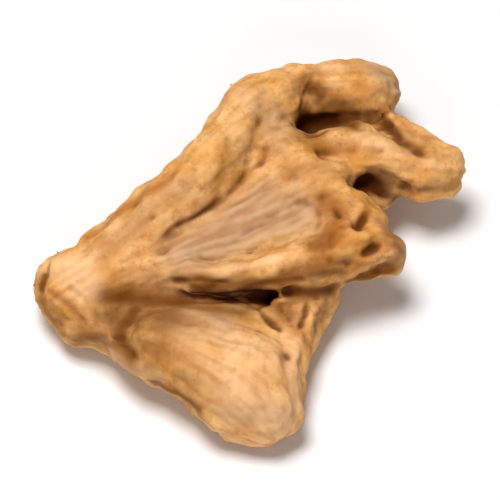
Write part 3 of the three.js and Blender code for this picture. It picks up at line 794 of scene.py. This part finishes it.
def skin_material():
    """Tan skin with its marks laid over one another."""
    material = bpy.data.materials.new("dry ginger skin")
    material.use_nodes = True
    nodes, links = material.node_tree.nodes, material.node_tree.links
    shader = nodes["Principled BSDF"]
    shader.inputs["Roughness"].default_value = SKIN_ROUGHNESS
    shader.inputs["Specular IOR Level"].default_value = DRY_GLOSS
    base = nodes.new("ShaderNodeGroup")
    base.node_tree = mottle
    base.inputs["Tone A"].default_value = LIGHT_SKIN
    base.inputs["Tone B"].default_value = OCHRE_SKIN
    base.inputs["Speck"].default_value = SPECK_TAN
    base.inputs["Scale"].default_value = MOTTLE_SCALE

    def mark(name, low, high, strength):
        """A mask from a vertex mark, stretched between two of its values."""
        read = nodes.new("ShaderNodeAttribute")
        read.attribute_name = name
        stretch = nodes.new("ShaderNodeMapRange")
        stretch.inputs["From Min"].default_value = low
        stretch.inputs["From Max"].default_value = high
        stretch.inputs["To Max"].default_value = strength
        links.new(read.outputs["Fac"], stretch.inputs["Value"])
        return stretch.outputs["Result"]

    def over(below, colour, mask):
        """A colour laid over the socket below where the mask is set."""
        mix = nodes.new("ShaderNodeMix")
        mix.data_type = "RGBA"
        links.new(mask, mix.inputs["Factor"])
        links.new(below, mix.inputs["A"])
        mix.inputs["B"].default_value = colour
        return mix.outputs["Result"]

    colour = base.outputs["Color"]
    # Pinkish tone and painted highlights on lit crests and faces.
    colour = over(colour, PINK_AND_HIGHLIGHT, mark("pink_and_highlight", 0.0, 1.0, 0.75))
    colour = over(colour, GREY_SKIN, mark("grey", 0.0, 1.0, 0.9))
    colour = over(colour, STREAK_TAN, mark("streak", 0.6, 0.1, 0.42))
    colour = over(colour, SILK, mark("silk", 0.1, 1.0, 0.36))
    # Rust, with some painted shade.
    colour = over(colour, RUST_AND_SHADE, mark("rust_and_shade", 0.1, 1.0, 0.85))
    # Olive brown strokes, mostly painted shade.
    colour = over(colour, OLIVE_BROWN_AND_SHADE, mark("brown_and_shade", 0.0, 1.0, 0.95))
    # Painted shade in deep hollows and under overhangs, partly the browner skin there.
    colour = over(colour, HOLLOW_BROWN_AND_SHADE, mark("hollow", 0.2, 0.65, 1.0))
    # Painted shade in the broad dips.
    colour = over(colour, OLIVE_BROWN_AND_SHADE, mark("dip", 0.58, 1.0, 0.7))
    # Painted shade: narrow creases are darkened.
    colour = over(colour, CREASE_SHADE, mark("crease", 0.64, 1.0, 0.6))
    links.new(colour, shader.inputs["Base Color"])
    bump = nodes.new("ShaderNodeBump")
    bump.inputs["Strength"].default_value = 0.35
    bump.inputs["Distance"].default_value = 0.15 * MM
    links.new(base.outputs["Grain"], bump.inputs["Height"])
    links.new(bump.outputs["Normal"], shader.inputs["Normal"])
    return material


root.data.materials.clear()
root.data.materials.append(skin_material())
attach(root, "root")
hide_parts(ROOT_NODE)
print("the skin's material has", len(root.data.materials[0].node_tree.nodes), "nodes")

# %% [markdown]
# Thin rootlets grew from the rhizome and broke off as it dried, and left short woody stubs, mostly
# round the neck, on the underside and a few on the back. They repeat and follow the surface, so
# Geometry Nodes place them: points are scattered where a mask allows, and each gets a small blunt
# cone that stands on the skin and leans a little at random. The cones are sunk a little into the
# skin, so that none of them floats. Below, a mask grows from a slope and an offset of how far the
# skin faces some way, and is cut off at 0 and 1.

# %% Where rootlets grew
NECK_END = np.array([-35.0, -6.0, 7.0])  # middle of the neck's broken end, in millimetres
NECK_REACH = 9.0
FLOOR_CLEARANCE = 2.2  # no rootlet stands lower than this, so none reaches through the floor
NECK_SIDE = (-2.0, 0.9)  # all round the neck, apart from the skin that faces the camera
BOTTOM = (-2.5, -1.6)  # skin that faces the floor
BOTTOM_BEHIND = (-4.0, -1.4)  # of it, what is well behind the outline seen from the camera
BACK = (1.0, -0.3)  # skin that faces backwards
BACK_SHARE = 0.3
HOLLOW_SHARE = 2  # how strongly hollows keep rootlets out


def facing_mask(facing, slope_and_offset):
    """A mask from 0 to 1 of the skin that faces some way."""
    slope, offset = slope_and_offset
    return np.clip(slope * facing + offset, 0, 1)


near_neck = np.exp(-((np.linalg.norm(points - NECK_END, axis=1) / NECK_REACH) ** 2))
to_camera = normals @ np.array(towards_camera)  # 1 where the skin looks at the camera
near_neck *= facing_mask(to_camera, NECK_SIDE)
underneath = facing_mask(normals[:, 2], BOTTOM) * standing * facing_mask(to_camera, BOTTOM_BEHIND)
behind = BACK_SHARE * facing_mask(normals[:, 1], BACK) * standing
rootlet_mask = np.clip(near_neck + underneath + behind - HOLLOW_SHARE * hollow, 0, 1)
rootlet_mask[points[:, 2] < lowest + FLOOR_CLEARANCE] = 0
skin.attributes.new("rootlets", "FLOAT", "POINT").data.foreach_set("value", rootlet_mask.astype(np.float32))
print("rootlets may grow on", round(100 * float(rootlet_mask.mean())), "% of the skin")


# %% Rootlet nodes
MOST_STUBS = 1e5  # stubs in a square metre, before the spacing thins them out
CONE_SIDES = 7
CONE_RINGS = 3
TIP_SHARE = 0.45  # radius of a stub's tip against its foot
STUB_SINK = 0.25 * MM
STUB_LEAN = 0.5  # the furthest that a stub leans to either side, in radians
FULL_TURN = 6.28
STUB_SIZES = (0.5, 1.25)  # smallest and largest scale


def rootlet_tree():
    """Short cones scattered over a surface, with named inputs for their size and spacing."""
    tree = bpy.data.node_groups.new("rootlet stubs", "GeometryNodeTree")
    tree.interface.new_socket("Geometry", in_out="INPUT", socket_type="NodeSocketGeometry")
    for name in ("Length", "Radius", "Spacing"):
        tree.interface.new_socket(name, in_out="INPUT", socket_type="NodeSocketFloat")
    tree.interface.new_socket("Seed", in_out="INPUT", socket_type="NodeSocketInt")
    tree.interface.new_socket("Material", in_out="INPUT", socket_type="NodeSocketMaterial")
    tree.interface.new_socket("Geometry", in_out="OUTPUT", socket_type="NodeSocketGeometry")
    nodes, links = tree.nodes, tree.links
    inside = nodes.new("NodeGroupInput")
    outside = nodes.new("NodeGroupOutput")
    mask = nodes.new("GeometryNodeInputNamedAttribute")
    mask.data_type = "FLOAT"
    mask.inputs["Name"].default_value = "rootlets"
    scatter = nodes.new("GeometryNodeDistributePointsOnFaces")
    scatter.distribute_method = "POISSON"
    scatter.inputs["Density Max"].default_value = MOST_STUBS
    cone = nodes.new("GeometryNodeMeshCone")
    cone.inputs["Vertices"].default_value = CONE_SIDES
    cone.inputs["Side Segments"].default_value = CONE_RINGS
    top = nodes.new("ShaderNodeMath")
    top.operation = "MULTIPLY"
    top.inputs[1].default_value = TIP_SHARE
    lowered = nodes.new("GeometryNodeTransform")
    lowered.inputs["Translation"].default_value = (0, 0, -STUB_SINK)
    lean = nodes.new("FunctionNodeRandomValue")
    lean.data_type = "FLOAT_VECTOR"
    lean.inputs[0].default_value = (-STUB_LEAN, -STUB_LEAN, 0.0)
    lean.inputs[1].default_value = (STUB_LEAN, STUB_LEAN, FULL_TURN)
    turned = nodes.new("FunctionNodeRotateRotation")
    turned.rotation_space = "LOCAL"
    size = nodes.new("FunctionNodeRandomValue")
    size.data_type = "FLOAT"
    size.inputs[2].default_value, size.inputs[3].default_value = STUB_SIZES
    stand = nodes.new("GeometryNodeInstanceOnPoints")
    real = nodes.new("GeometryNodeRealizeInstances")
    coat = nodes.new("GeometryNodeSetMaterial")
    links.new(inside.outputs["Geometry"], scatter.inputs["Mesh"])
    links.new(mask.outputs["Attribute"], scatter.inputs["Density Factor"])
    links.new(inside.outputs["Spacing"], scatter.inputs["Distance Min"])
    links.new(inside.outputs["Seed"], scatter.inputs["Seed"])
    links.new(inside.outputs["Length"], cone.inputs["Depth"])
    links.new(inside.outputs["Radius"], cone.inputs["Radius Bottom"])
    links.new(inside.outputs["Radius"], top.inputs[0])
    links.new(top.outputs[0], cone.inputs["Radius Top"])
    links.new(cone.outputs["Mesh"], lowered.inputs["Geometry"])
    links.new(inside.outputs["Seed"], lean.inputs["Seed"])
    links.new(inside.outputs["Seed"], size.inputs["Seed"])
    links.new(scatter.outputs["Rotation"], turned.inputs["Rotation"])
    links.new(lean.outputs[0], turned.inputs["Rotate By"])
    links.new(scatter.outputs["Points"], stand.inputs["Points"])
    links.new(lowered.outputs["Geometry"], stand.inputs["Instance"])
    links.new(turned.outputs["Rotation"], stand.inputs["Rotation"])
    links.new(size.outputs[1], stand.inputs["Scale"])
    links.new(stand.outputs["Instances"], real.inputs["Geometry"])
    links.new(real.outputs["Geometry"], coat.inputs["Geometry"])
    links.new(inside.outputs["Material"], coat.inputs["Material"])
    links.new(coat.outputs["Geometry"], outside.inputs["Geometry"])
    return tree


stub_tree = rootlet_tree()
print("the rootlet tree has", len(stub_tree.nodes), "nodes")

# %% Fibre material
FIBRE_TAN = linear(168, 116, 62)
FIBRE_BROWN = linear(120, 72, 30)
FIBRE_DARK = linear(78, 42, 14)
FIBRE_SCALE = 700.0
FIBRE_ROUGHNESS = 0.75


def fibre_material():
    """Woody fibre: darker than the skin, with the same mottle at a finer scale."""
    material = bpy.data.materials.new("woody fibre")
    material.use_nodes = True
    nodes, links = material.node_tree.nodes, material.node_tree.links
    shader = nodes["Principled BSDF"]
    shader.inputs["Roughness"].default_value = FIBRE_ROUGHNESS
    shader.inputs["Specular IOR Level"].default_value = DRY_GLOSS
    base = nodes.new("ShaderNodeGroup")
    base.node_tree = mottle
    base.inputs["Tone A"].default_value = FIBRE_TAN
    base.inputs["Tone B"].default_value = FIBRE_BROWN
    base.inputs["Speck"].default_value = FIBRE_DARK
    base.inputs["Scale"].default_value = FIBRE_SCALE
    bump = nodes.new("ShaderNodeBump")
    bump.inputs["Strength"].default_value = 0.4
    bump.inputs["Distance"].default_value = 0.05 * MM
    links.new(base.outputs["Color"], shader.inputs["Base Color"])
    links.new(base.outputs["Grain"], bump.inputs["Height"])
    links.new(bump.outputs["Normal"], shader.inputs["Normal"])
    return material


fibre = fibre_material()
print("fibre material made with", len(fibre.node_tree.nodes), "nodes")

# %% Rootlet stubs
STUB_VALUES = {
    "Length": 0.8 * MM,
    "Radius": 0.3 * MM,
    "Spacing": 3.2 * MM,
    "Seed": 11,
    "Material": fibre,
}


def rootlet_stubs():
    """The scattered stubs as one plain mesh object."""
    carrier = bpy.data.objects.new("rootlet carrier", skin.copy())
    bpy.context.scene.collection.objects.link(carrier)
    modifier = carrier.modifiers.new("rootlets", "NODES")
    modifier.node_group = stub_tree
    for item in stub_tree.interface.items_tree:
        if item.in_out == "INPUT" and item.name in STUB_VALUES:
            modifier[item.identifier] = STUB_VALUES[item.name]
    shape = carrier.evaluated_get(bpy.context.evaluated_depsgraph_get())
    mesh = bpy.data.meshes.new_from_object(shape)
    copied = carrier.data
    bpy.data.objects.remove(carrier)
    bpy.data.meshes.remove(copied)
    mesh.shade_smooth()
    stubs = bpy.data.objects.new("rootlet_stubs", mesh)
    bpy.context.scene.collection.objects.link(stubs)
    return stubs


rootlets = rootlet_stubs()
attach(rootlets, "root")
print("rootlet stubs have", len(rootlets.data.polygons), "faces")

# %% [markdown]
# The root lies on a plain pale floor in soft studio light. One large light above it, a little to the
# left and behind, models the form, a weaker one fills from the front, and a dim warm sky keeps the
# hollows dark, because a bright one would wash them out.

# %% Floor
FLOOR_HALF = 2.0
FLOOR_GREY = (0.85, 0.85, 0.85, 1)
FLOOR_ROUGHNESS = 0.9
floor_mesh = bpy.data.meshes.new("floor")
floor_corners = [(-1, -1), (1, -1), (1, 1), (-1, 1)]
floor_mesh.from_pydata([(x * FLOOR_HALF, y * FLOOR_HALF, 0) for x, y in floor_corners], [], [(0, 1, 2, 3)])
floor_finish = bpy.data.materials.new("pale floor")
floor_finish.use_nodes = True
floor_shader = floor_finish.node_tree.nodes["Principled BSDF"]
floor_shader.inputs["Base Color"].default_value = FLOOR_GREY
floor_shader.inputs["Roughness"].default_value = FLOOR_ROUGHNESS
floor_mesh.materials.append(floor_finish)
floor = bpy.data.objects.new("floor", floor_mesh)
bpy.context.scene.collection.objects.link(floor)
print("floor is", 2 * FLOOR_HALF, "m wide")

# %% Lights and sky
SKY_STRENGTH = 0.14
SKY_COLOUR = (1, 0.98, 0.95, 1)


def area_light(name, place, size, watts):
    """A square soft light that looks at the root."""
    data = bpy.data.lights.new(name, "AREA")
    data.size = size
    data.energy = watts
    light = bpy.data.objects.new(name, data)
    light.location = place
    light.rotation_euler = Vector(place).to_track_quat("Z", "Y").to_euler()
    bpy.context.scene.collection.objects.link(light)


area_light("key", (-0.15, 0.08, 0.92), size=0.4, watts=9.2)
area_light("fill", (0.0, -0.95, 0.5), size=0.6, watts=3.2)
world = bpy.data.worlds.new("studio")
world.use_nodes = True
sky = world.node_tree.nodes["Background"]
sky.inputs["Color"].default_value = SKY_COLOUR
sky.inputs["Strength"].default_value = SKY_STRENGTH
bpy.context.scene.world = world
bpy.context.scene.view_settings.view_transform = "Standard"
print("lights:", [light.name for light in bpy.data.lights])
